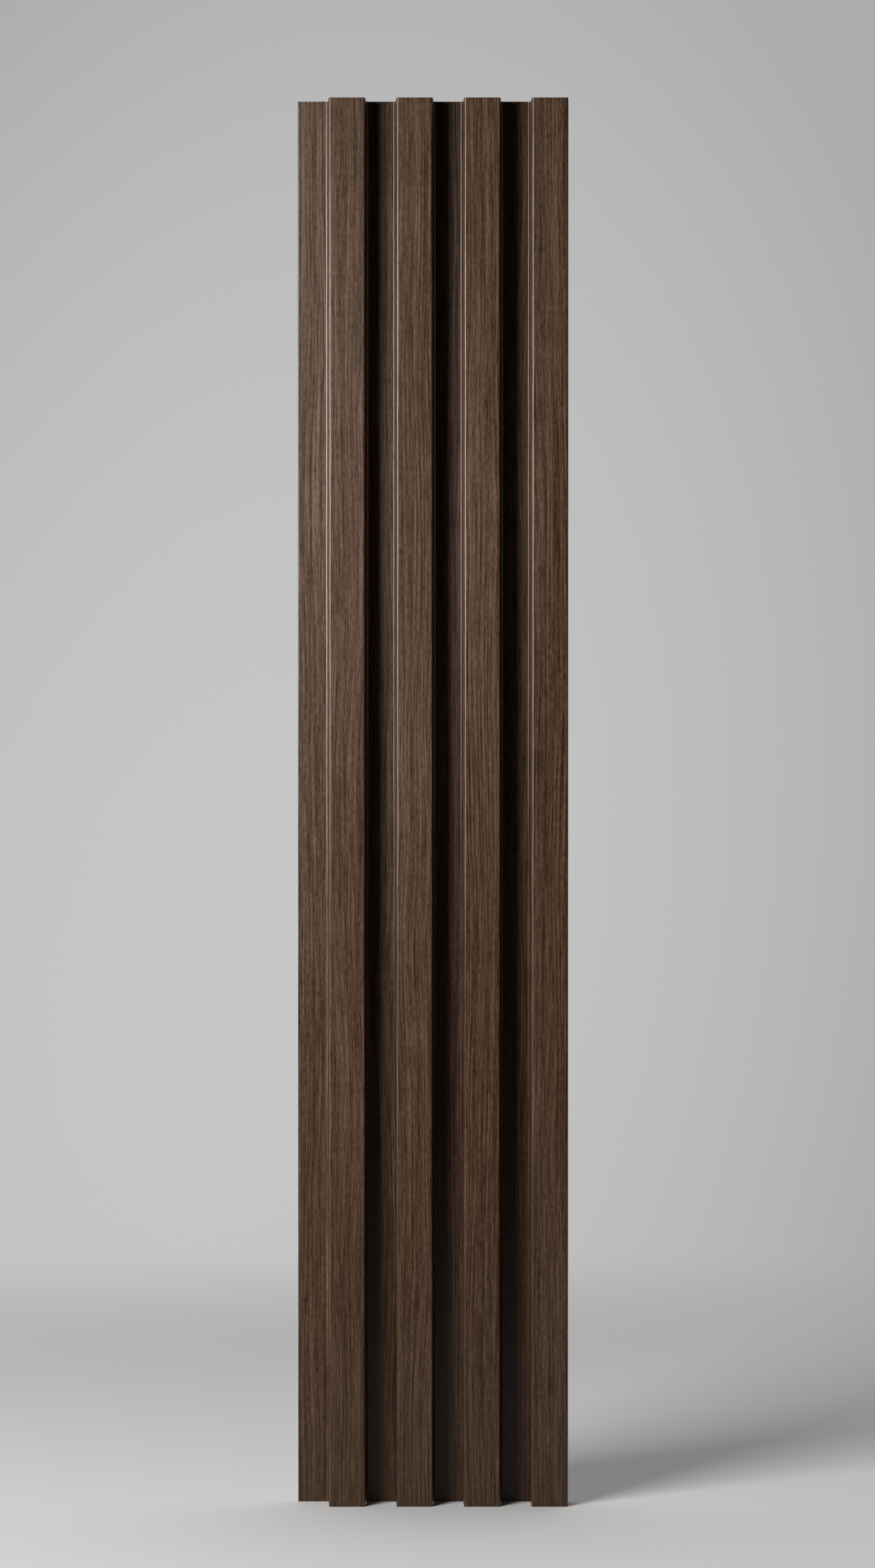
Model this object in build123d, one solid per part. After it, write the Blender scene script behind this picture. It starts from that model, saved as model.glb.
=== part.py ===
from build123d import *
import math
import os

# Fluted wall panel: one length of an extruded profile, with a lapping flange on its
# left edge and a row of hollow ribs with channels between them.
# Frame: origin on the wall plane, at the middle of the width and the bottom end.
# +X is to the right as seen from the room, +Y goes into the wall, +Z is up.

# Driving dimensions, in millimetres unless a line says otherwise
PANEL_LENGTH = 833.0
RIB_COUNT = 4
RIB_PITCH = 40.0
RIB_HEIGHT = 19.5        # channel floor to crown
RIB_DRAFT = 2.0          # degrees that each rib side leans inward towards the crown
CROWN_WIDTH = 21.4       # flat front of a rib, before its corners are rounded
FLANGE_WIDTH = 18.1      # free left edge to the foot of the first rib
FLOOR_THICKNESS = 4.5    # flange and channel floors
SIDE_THICKNESS = 3.5     # measured square to a rib side
CROWN_THICKNESS = 4.0
CROWN_RADIUS = 1.2       # front corners of a rib
ROOT_RADIUS = 1.5        # where a rib side meets a channel floor
CAVITY_RADIUS = 1.0      # front corners of the hollow behind a rib
EDGE_RADIUS = 0.5        # free edges: flange, hollow mouths and the end side
LAP_CLEARANCE = 0.3      # between the end side and the next panel's flange

# Depths, all measured from the wall plane
floor_y = -FLOOR_THICKNESS
crown_y = floor_y - RIB_HEIGHT
hollow_y = crown_y + CROWN_THICKNESS
lap_y = floor_y - LAP_CLEARANCE


def outer_half(y):
    """Half of a rib's outside width at depth y."""
    return CROWN_WIDTH / 2 + (y - crown_y) * math.tan(math.radians(RIB_DRAFT))


def inner_half(y):
    """Half of the hollow's width at depth y, one side thickness in from the outside."""
    return outer_half(y) - SIDE_THICKNESS / math.cos(math.radians(RIB_DRAFT))


# Places across the width
flange_to_rib = FLANGE_WIDTH + outer_half(floor_y)
ribs_span = (RIB_COUNT - 1) * RIB_PITCH
panel_width = flange_to_rib + ribs_span + outer_half(lap_y)
flange_x = -panel_width / 2
rib_centres = [flange_x + flange_to_rib + i * RIB_PITCH for i in range(RIB_COUNT)]


def front_corners():
    """Corners of the face seen in the room, left to right, as x, y and radius."""
    corners = [(flange_x, floor_y, EDGE_RADIUS)]
    for centre in rib_centres:
        corners.append((centre - outer_half(floor_y), floor_y, ROOT_RADIUS))
        corners.append((centre - outer_half(crown_y), crown_y, CROWN_RADIUS))
        corners.append((centre + outer_half(crown_y), crown_y, CROWN_RADIUS))
        if centre != rib_centres[-1]:
            corners.append((centre + outer_half(floor_y), floor_y, ROOT_RADIUS))
    return corners


def end_side_corners():
    """Tip of the last rib's outer side, short of the wall so that a flange fits behind it."""
    centre = rib_centres[-1]
    return [
        (centre + outer_half(lap_y), lap_y, EDGE_RADIUS),
        (centre + inner_half(lap_y), lap_y, EDGE_RADIUS),
    ]


def back_corners():
    """Corners of the face towards the wall, right to left, as x, y and radius."""
    corners = []
    for centre in reversed(rib_centres):
        if centre != rib_centres[-1]:
            corners.append((centre + inner_half(0), 0, EDGE_RADIUS))
        corners.append((centre + inner_half(hollow_y), hollow_y, CAVITY_RADIUS))
        corners.append((centre - inner_half(hollow_y), hollow_y, CAVITY_RADIUS))
        corners.append((centre - inner_half(0), 0, EDGE_RADIUS))
    corners.append((flange_x, 0, EDGE_RADIUS))
    return corners


def profile():
    """The extruded section, seen from above."""
    corners = front_corners() + end_side_corners() + back_corners()
    points = [(x, y) for x, y, radius in corners]
    radii = [radius for x, y, radius in corners]
    return make_face(FilletPolyline(points, radius=radii, close=True))


fluted_panel = extrude(profile(), amount=PANEL_LENGTH, dir=(0, 0, 1))

os.makedirs("parts", exist_ok=True)
export_step(fluted_panel, "parts/fluted_panel.step")
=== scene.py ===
import math

import bpy
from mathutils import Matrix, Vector


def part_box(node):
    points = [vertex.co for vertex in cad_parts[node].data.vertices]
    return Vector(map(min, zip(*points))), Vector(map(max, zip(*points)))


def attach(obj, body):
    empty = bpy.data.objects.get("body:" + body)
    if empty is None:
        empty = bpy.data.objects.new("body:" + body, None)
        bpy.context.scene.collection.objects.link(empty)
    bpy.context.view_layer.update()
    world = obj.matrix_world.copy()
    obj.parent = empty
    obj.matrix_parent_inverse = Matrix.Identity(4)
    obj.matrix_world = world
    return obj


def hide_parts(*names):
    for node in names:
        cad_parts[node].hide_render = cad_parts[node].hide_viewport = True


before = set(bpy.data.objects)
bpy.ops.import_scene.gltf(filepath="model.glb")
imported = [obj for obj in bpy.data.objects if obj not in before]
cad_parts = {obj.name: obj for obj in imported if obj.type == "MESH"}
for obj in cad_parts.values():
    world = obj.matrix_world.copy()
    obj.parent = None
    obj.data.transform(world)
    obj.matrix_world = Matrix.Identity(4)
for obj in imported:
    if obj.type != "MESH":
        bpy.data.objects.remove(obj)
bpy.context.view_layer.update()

# The panel's section, in metres, as the solid has it
RIB_COUNT = 4
RIB_PITCH = 0.040
RIB_HEIGHT = 0.0195
RIB_DRAFT = math.radians(2.0)
CROWN_WIDTH = 0.0214
FLANGE_WIDTH = 0.0181
FLOOR_THICKNESS = 0.0045
SIDE_THICKNESS = 0.0035
CROWN_THICKNESS = 0.0040
CROWN_RADIUS = 0.0012
ROOT_RADIUS = 0.0015
CAVITY_RADIUS = 0.0010
EDGE_RADIUS = 0.0005
LAP_CLEARANCE = 0.0003
ARC_STEPS = 10

panel_low, panel_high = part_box("fluted_panel")
FLOOR_Y = -FLOOR_THICKNESS
CROWN_Y = FLOOR_Y - RIB_HEIGHT
HOLLOW_Y = CROWN_Y + CROWN_THICKNESS
LAP_Y = FLOOR_Y - LAP_CLEARANCE

# Colours, linear red, green and blue
GRAIN_DARK = (0.029, 0.0097, 0.0013, 1)
GRAIN_MID = (0.070, 0.0355, 0.0172, 1)
GRAIN_LIGHT = (0.131, 0.0755, 0.0480, 1)
GLOSS_TINT = (1.0, 0.91, 0.84, 1)
COMPOSITE_DARK = (0.034, 0.022, 0.015, 1)
COMPOSITE_LIGHT = (0.100, 0.071, 0.051, 1)
FLOOR_COLOUR = (0.74, 0.74, 0.74, 1)

# Camera, in metres and degrees, for the whole 1438 by 2576 picture
CAMERA_PLACE = (0.0, -2.850, 0.4652)
CAMERA_PITCH = -0.754
CAMERA_YAW = 0.0525
CAMERA_LENS = 109.81

MM_PER_M = 1000.0

# Places of the three finishes in the panel's list of materials
FILM, BARE, SAWN = range(3)


def outer_half(y):
    """Half of a rib's outside width at depth y."""
    return CROWN_WIDTH / 2 + (y - CROWN_Y) * math.tan(RIB_DRAFT)


def inner_half(y):
    """Half of the hollow's width at depth y."""
    return outer_half(y) - SIDE_THICKNESS / math.cos(RIB_DRAFT)


def rib_centres():
    """Middle of each rib across the width, from left to right."""
    first = panel_low.x + FLANGE_WIDTH + outer_half(FLOOR_Y)
    return [first + i * RIB_PITCH for i in range(RIB_COUNT)]


def film_corners():
    """Corners that the film covers, from the flange's back edge to the end side's tip."""
    centres = rib_centres()
    corners = [(panel_low.x, 0, EDGE_RADIUS), (panel_low.x, FLOOR_Y, EDGE_RADIUS)]
    for centre in centres:
        corners.append((centre - outer_half(FLOOR_Y), FLOOR_Y, ROOT_RADIUS))
        corners.append((centre - outer_half(CROWN_Y), CROWN_Y, CROWN_RADIUS))
        corners.append((centre + outer_half(CROWN_Y), CROWN_Y, CROWN_RADIUS))
        if centre != centres[-1]:
            corners.append((centre + outer_half(FLOOR_Y), FLOOR_Y, ROOT_RADIUS))
    corners.append((centres[-1] + outer_half(LAP_Y), LAP_Y, EDGE_RADIUS))
    corners.append((centres[-1] + inner_half(LAP_Y), LAP_Y, EDGE_RADIUS))
    return corners


def back_corners():
    """Corners of the bare side towards the wall, from right to left."""
    centres = rib_centres()
    corners = []
    for centre in reversed(centres):
        if centre != centres[-1]:
            corners.append((centre + inner_half(0), 0, EDGE_RADIUS))
        corners.append((centre + inner_half(HOLLOW_Y), HOLLOW_Y, CAVITY_RADIUS))
        corners.append((centre - inner_half(HOLLOW_Y), HOLLOW_Y, CAVITY_RADIUS))
        corners.append((centre - inner_half(0), 0, EDGE_RADIUS))
    return corners


def rounded(before, corner, after):
    """Points and outward normals of one rounded corner of an outline that runs anticlockwise."""
    here = Vector(corner[:2])
    radius = corner[2]
    way_in = (here - Vector(before[:2])).normalized()
    way_out = (Vector(after[:2]) - here).normalized()
    turn = math.atan2(way_in.cross(way_out), way_in.dot(way_out))
    bulge = math.copysign(radius, turn)
    normal = Vector((way_in.y, -way_in.x))
    start = here - way_in * radius * math.tan(abs(turn) / 2)
    centre = start - normal * bulge
    points = []
    for step in range(ARC_STEPS + 1):
        angle = turn * step / ARC_STEPS
        turned = Vector((
            normal.x * math.cos(angle) - normal.y * math.sin(angle),
            normal.x * math.sin(angle) + normal.y * math.cos(angle),
        ))
        points.append((centre + turned * bulge, turned))
    return points


def build_panel():
    """The panel as one closed mesh: film on the front, bare composite behind, sawn ends."""
    film = film_corners()
    corners = film + back_corners()
    points = []
    for i, corner in enumerate(corners):
        points += rounded(corners[i - 1], corner, corners[(i + 1) % len(corners)])
    film_segments = len(film) * (ARC_STEPS + 1)
    count = len(points)

    vertices = [(p.x, p.y, panel_low.z) for p, normal in points]
    vertices += [(p.x, p.y, panel_high.z) for p, normal in points]
    faces = [(i, (i + 1) % count, (i + 1) % count + count, i + count) for i in range(count)]
    faces.append(tuple(reversed(range(count))))
    faces.append(tuple(range(count, 2 * count)))

    mesh = bpy.data.meshes.new("fluted_panel_film")
    mesh.from_pydata(vertices, [], faces)
    for material in (wood_film(), composite(), sawn_end()):
        mesh.materials.append(material)

    along = [0.0]
    for i in range(count):
        along.append(along[-1] + (points[(i + 1) % count][0] - points[i][0]).length)
    layer = mesh.uv_layers.new(name="developed")
    normals = []
    for i, face in enumerate(mesh.polygons):
        is_side = i < count
        if not is_side:
            face.material_index = SAWN
        elif i < film_segments:
            face.material_index = FILM
        else:
            face.material_index = BARE
        face.use_smooth = True
        for loop in face.loop_indices:
            vertex = mesh.loops[loop].vertex_index
            place = mesh.vertices[vertex].co
            if is_side:
                past_end = vertex % count == 0 and i == count - 1
                layer.data[loop].uv = (along[count if past_end else vertex % count], place.z)
                normals.append((*points[vertex % count][1], 0))
            else:
                layer.data[loop].uv = (place.x, place.y)
                normals.append((0, 0, -1 if i == count else 1))
    mesh.normals_split_custom_set(normals)

    panel = bpy.data.objects.new("fluted_panel_film", mesh)
    bpy.context.scene.collection.objects.link(panel)
    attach(panel, "root")
    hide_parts("fluted_panel")
    return panel


# Shared by all finishes: roughness of the noise, and depth of the bump in metres
NOISE_ROUGHNESS = 0.55
BUMP_DEPTH = 0.0002


class Tree:
    """A node tree, with short calls for the nodes that the finishes and the stage share."""

    def __init__(self, node_tree):
        self.nodes = node_tree.nodes
        self.links = node_tree.links

    def add(self, kind, inputs=(), **settings):
        """Adds a node; each input is a plain value or the socket that feeds it."""
        node = self.nodes.new(kind)
        for key, value in settings.items():
            setattr(node, key, value)
        for key, value in dict(inputs).items():
            self.feed(node.inputs[key], value)
        return node

    def feed(self, socket, value):
        if isinstance(value, bpy.types.NodeSocket):
            self.links.new(value, socket)
        else:
            socket.default_value = value

    def math(self, operation, *values):
        return self.add("ShaderNodeMath", enumerate(values), operation=operation).outputs[0]

    def scaled(self, place, factors):
        inputs = {0: place, 1: factors}
        return self.add("ShaderNodeVectorMath", inputs, operation="MULTIPLY").outputs[0]

    def developed_mm(self):
        """Place on the surface unrolled flat, in millimetres: across the section, and up the length."""
        uv = self.add("ShaderNodeUVMap", uv_map="developed").outputs[0]
        return self.scaled(uv, (MM_PER_M, MM_PER_M, 1))

    def noise(self, place, width, length, detail):
        """Noise from 0 to 1 whose spots are about width by length, in the units of place."""
        stretched = self.scaled(place, (1 / width, 1 / length, 1))
        inputs = {"Vector": stretched, "Scale": 1.0, "Detail": detail, "Roughness": NOISE_ROUGHNESS}
        return self.add("ShaderNodeTexNoise", inputs, noise_dimensions="2D").outputs[0]

    def spread(self, value, low, high, to_low=0.0, to_high=1.0, curve="LINEAR"):
        """Carries the range low to high over to another range, and clamps it there."""
        names = ("Value", "From Min", "From Max", "To Min", "To Max")
        inputs = dict(zip(names, (value, low, high, to_low, to_high)))
        return self.add("ShaderNodeMapRange", inputs, interpolation_type=curve).outputs[0]

    def ramp(self, value, stops):
        node = self.add("ShaderNodeValToRGB", {0: value})
        elements = node.color_ramp.elements
        while len(elements) < len(stops):
            elements.new(0.5)
        for element, (position, colour) in zip(elements, stops):
            element.position = position
            element.color = colour
        return node.outputs[0]

    def bump(self, height, strength):
        inputs = {"Height": height, "Strength": strength, "Distance": BUMP_DEPTH}
        return self.add("ShaderNodeBump", inputs).outputs[0]

    def principled(self, **inputs):
        """Sets the Principled shader's inputs, named with _ for each space."""
        shader = self.nodes["Principled BSDF"]
        for name, value in inputs.items():
            self.feed(shader.inputs[name.replace("_", " ")], value)
        return shader


def new_material(name):
    material = bpy.data.materials.new(name)
    material.use_nodes = True
    return material, Tree(material.node_tree)


# Grain of the film: width and length of the streaks in millimetres, detail and weight
GRAIN_LAYERS = (
    (55.0, 300.0, 1.0, 0.22),
    (5.0, 260.0, 1.0, 0.28),
    (1.2, 170.0, 0.0, 0.55),
    (1.15, 52.0, 0.0, 0.45),
    (1.1, 16.0, 0.0, 0.40),
    (0.9, 3.5, 0.0, 0.36),
)
GRAIN_RAMP = ((0.1, GRAIN_DARK), (0.5, GRAIN_MID), (0.9, GRAIN_LIGHT))

# Wandering of the streaks: width, length and sideways reach of the bends in millimetres
DRIFT_LAYERS = ((38.0, 210.0, 8.0), (14.0, 100.0, 1.1))
DRIFT_DETAIL = 1.0

# Pores: width and length in millimetres, detail, the part of the noise that makes them, and weight
PORE_SIZE = (1.0, 9.0)
PORE_DETAIL = 1.0
PORE_RANGE = (0.60, 0.72)
PORE_WEIGHT = -0.15

# Gloss of the film: dark streaks are smoother than light ones
GLOSS_TONES = (0.2, 0.8)
FILM_ROUGHNESS = (0.31, 0.39)
FILM_SPECULAR = 0.83
FILM_BUMP = 0.20


def wood_film():
    """Printed wood-grain film: streaks along the length that wander a little, with short dark pores."""
    material, tree = new_material("wood_film")
    place = tree.developed_mm()
    split = tree.add("ShaderNodeSeparateXYZ", {0: place})
    across = split.outputs[0]
    for width, length, reach in DRIFT_LAYERS:
        drift = tree.noise(place, width, length, DRIFT_DETAIL)
        across = tree.math("MULTIPLY_ADD", drift, reach, across)
    grain_place = tree.add("ShaderNodeCombineXYZ", {0: across, 1: split.outputs[1]}).outputs[0]

    tone = 0.5 - sum(layer[3] for layer in GRAIN_LAYERS) / 2
    for width, length, detail, weight in GRAIN_LAYERS:
        streaks = tree.noise(grain_place, width, length, detail)
        tone = tree.math("MULTIPLY_ADD", streaks, weight, tone)
    pores = tree.spread(tree.noise(grain_place, *PORE_SIZE, PORE_DETAIL), *PORE_RANGE)
    tone = tree.math("MULTIPLY_ADD", pores, PORE_WEIGHT, tone)

    tree.principled(
        Base_Color=tree.ramp(tone, GRAIN_RAMP),
        Roughness=tree.spread(tone, *GLOSS_TONES, *FILM_ROUGHNESS),
        Specular_IOR_Level=FILM_SPECULAR,
        Specular_Tint=GLOSS_TINT,
        Normal=tree.bump(tone, FILM_BUMP),
    )
    return material


# Marks on the bare composite: width and length in millimetres, detail and weight
DIE_LINES = (0.8, 900.0, 2.0, 0.6)
BACK_SPECKS = (0.7, 1.6, 3.0, 0.6)
BLADE_MARKS = (0.5, 60.0, 2.0, 0.4)
END_SPECKS = (0.5, 0.5, 3.0, 0.8)
COMPOSITE_RAMP = ((0.35, COMPOSITE_DARK), (0.85, COMPOSITE_LIGHT))

# Surface of the bare composite: roughness, specular level and bump strength
BACK_SURFACE = (0.55, 0.3, 0.2)
END_SURFACE = (0.85, 0.15, 0.3)


def bare_composite(name, lines, specks, surface):
    """Brown composite without film: lines left by a tool, and specks."""
    material, tree = new_material(name)
    place = tree.developed_mm()
    *line_shape, line_weight = lines
    *speck_shape, speck_weight = specks
    line_tone = tree.noise(place, *line_shape)
    speck_tone = tree.math("MULTIPLY", tree.noise(place, *speck_shape), speck_weight)
    tone = tree.math("MULTIPLY_ADD", line_tone, line_weight, speck_tone)
    roughness, specular, bump = surface
    tree.principled(
        Base_Color=tree.ramp(tone, COMPOSITE_RAMP),
        Roughness=roughness,
        Specular_IOR_Level=specular,
        Normal=tree.bump(tone, bump),
    )
    return material


def composite():
    """Extruded composite on the back, with faint lines from the die."""
    return bare_composite("composite", DIE_LINES, BACK_SPECKS, BACK_SURFACE)


def sawn_end():
    """Sawn composite at the ends, with fine marks from the blade."""
    return bare_composite("sawn_end", BLADE_MARKS, END_SPECKS, END_SURFACE)


# Stage: floor in metres, backdrop by direction from the panel, brightness as linear grey
FLOOR_RADIUS = 4.0
FLOOR_SIDES = 96
FLOOR_FADE_CENTRE = (0.0, 0.15, 0.0)
FLOOR_FADE = (0.40, 1.25)
FLOOR_IN_GLOSS = 0.38
FLOOR_ROUGHNESS = 0.9
FLOOR_SPECULAR = 0.1
BACKDROP_BRIGHT = 0.565
BACKDROP_DIM = 0.413
BACKDROP_CENTRE = (-0.034, -0.050)
BACKDROP_REACH = (0.148, 0.238)
BACKDROP_LEAN = 0.148
AMBIENT_BACKDROP = 0.72
AMBIENT_ROOM = 0.002
AMBIENT_FLOOR = 0.03
ROOM_EDGE = (-0.05, 0.35)
FLOOR_EDGE = (-0.30, 0.0)


def build_floor():
    """A round pale floor that keeps the shadow near the panel and fades into the backdrop."""
    rim = [math.tau * i / FLOOR_SIDES for i in range(FLOOR_SIDES)]
    vertices = [(FLOOR_RADIUS * math.cos(a), FLOOR_RADIUS * math.sin(a), panel_low.z) for a in rim]
    mesh = bpy.data.meshes.new("studio_floor")
    mesh.from_pydata(vertices, [], [tuple(range(FLOOR_SIDES))])
    material, tree = new_material("studio_floor")
    place = tree.add("ShaderNodeTexCoord").outputs["Object"]
    reach = {0: place, 1: FLOOR_FADE_CENTRE}
    away = tree.add("ShaderNodeVectorMath", reach, operation="DISTANCE").outputs["Value"]
    fade = tree.spread(away, *FLOOR_FADE, 1.0, 0.0, "SMOOTHSTEP")
    in_gloss = tree.add("ShaderNodeLightPath").outputs["Is Glossy Ray"]
    tree.principled(
        Base_Color=FLOOR_COLOUR,
        Roughness=FLOOR_ROUGHNESS,
        Specular_IOR_Level=FLOOR_SPECULAR,
        Alpha=tree.math("MULTIPLY", fade, tree.spread(in_gloss, 0.0, 1.0, 1.0, FLOOR_IN_GLOSS)),
    )
    mesh.materials.append(material)
    floor = bpy.data.objects.new("studio_floor", mesh)
    bpy.context.scene.collection.objects.link(floor)
    floor.visible_diffuse = False
    return floor


def build_world():
    """A pale backdrop behind the panel, which also lights it, and a dim room on the camera's side."""
    world = bpy.data.worlds.new("studio")
    bpy.context.scene.world = world
    world.use_nodes = True
    tree = Tree(world.node_tree)
    direction = tree.add("ShaderNodeTexCoord").outputs["Generated"]
    aside, ahead, up = tree.add("ShaderNodeSeparateXYZ", {0: direction}).outputs

    off_centre = 0.0
    leaning = tree.math("MULTIPLY_ADD", up, -BACKDROP_LEAN, aside)
    for value, centre, reach in zip((leaning, up), BACKDROP_CENTRE, BACKDROP_REACH):
        share = tree.spread(value, centre - reach, centre + reach, -1.0, 1.0)
        off_centre = tree.math("MULTIPLY_ADD", share, share, off_centre)
    backdrop = tree.spread(off_centre, 0.0, 1.0, BACKDROP_BRIGHT, BACKDROP_DIM)
    behind = tree.spread(ahead, *ROOM_EDGE)
    room = tree.spread(up, *FLOOR_EDGE, AMBIENT_FLOOR, AMBIENT_ROOM)
    ambient = tree.spread(behind, 0.0, 1.0, room, AMBIENT_BACKDROP)

    path = tree.add("ShaderNodeLightPath").outputs
    mirrored = tree.math("ADD", path["Is Glossy Ray"], path["Is Transmission Ray"])
    shown = tree.math("MULTIPLY_ADD", mirrored, behind, path["Is Camera Ray"])
    level = tree.add("ShaderNodeMix", {"Factor": shown, "A": ambient, "B": backdrop}).outputs[0]
    background = tree.nodes["Background"]
    background.inputs["Color"].default_value = (1, 1, 1, 1)
    tree.feed(background.inputs["Strength"], level)


# Softboxes: place and aim in metres, width and height in metres, and watts
KEY_LIGHT = ((-0.515, -0.625, 0.687), (0.0, 0.0, 0.45), (0.42, 0.475), 9.3)
FILL_LIGHT = ((-0.42, -0.53, 0.06), (0.0, 0.0, 0.08), (0.45, 0.26), 0.65)
SIDE_LIGHT = ((-0.62, -0.33, 0.32), (0.0, 0.0, 0.32), (0.25, 0.52), 0.68)
FLOOR_LIGHT = ((-1.32, -1.62, 1.55), (0.0, 0.0, 0.0), (1.05, 1.05), 55.0)
REAR_LIGHT = ((-0.35, 1.30, 0.95), (0.0, 0.0, 0.42), (1.0, 1.0), 14.0)


def add_softbox(name, setting, lit, in_gloss=True):
    """A soft rectangular lamp that lights one object only; every object still casts its shadow."""
    place, aim, size, watts = setting
    light = bpy.data.lights.new(name, "AREA")
    light.shape = "RECTANGLE"
    light.size, light.size_y = size
    light.energy = watts
    softbox = bpy.data.objects.new(name, light)
    softbox.location = place
    turn = (Vector(aim) - Vector(place)).to_track_quat("-Z", "Y")
    softbox.rotation_euler = turn.to_euler()
    softbox.visible_camera = False
    softbox.visible_glossy = in_gloss
    receivers = bpy.data.collections.new(name + "_receivers")
    receivers.objects.link(lit)
    softbox.light_linking.receiver_collection = receivers
    bpy.context.scene.collection.objects.link(softbox)


def build_camera():
    """The photo's point of view."""
    data = bpy.data.cameras.new("camera")
    data.lens = CAMERA_LENS
    camera = bpy.data.objects.new("camera", data)
    camera.location = CAMERA_PLACE
    camera.rotation_euler = (math.radians(90 + CAMERA_PITCH), 0, math.radians(-CAMERA_YAW))
    bpy.context.scene.collection.objects.link(camera)
    bpy.context.scene.camera = camera


panel = build_panel()
floor = build_floor()
build_world()
add_softbox("key_softbox", KEY_LIGHT, panel)
add_softbox("fill_softbox", FILL_LIGHT, panel, in_gloss=False)
add_softbox("side_softbox", SIDE_LIGHT, panel)
add_softbox("rear_softbox", REAR_LIGHT, panel, in_gloss=False)
add_softbox("floor_softbox", FLOOR_LIGHT, floor)
build_camera()
bpy.context.scene.view_settings.view_transform = "Standard"
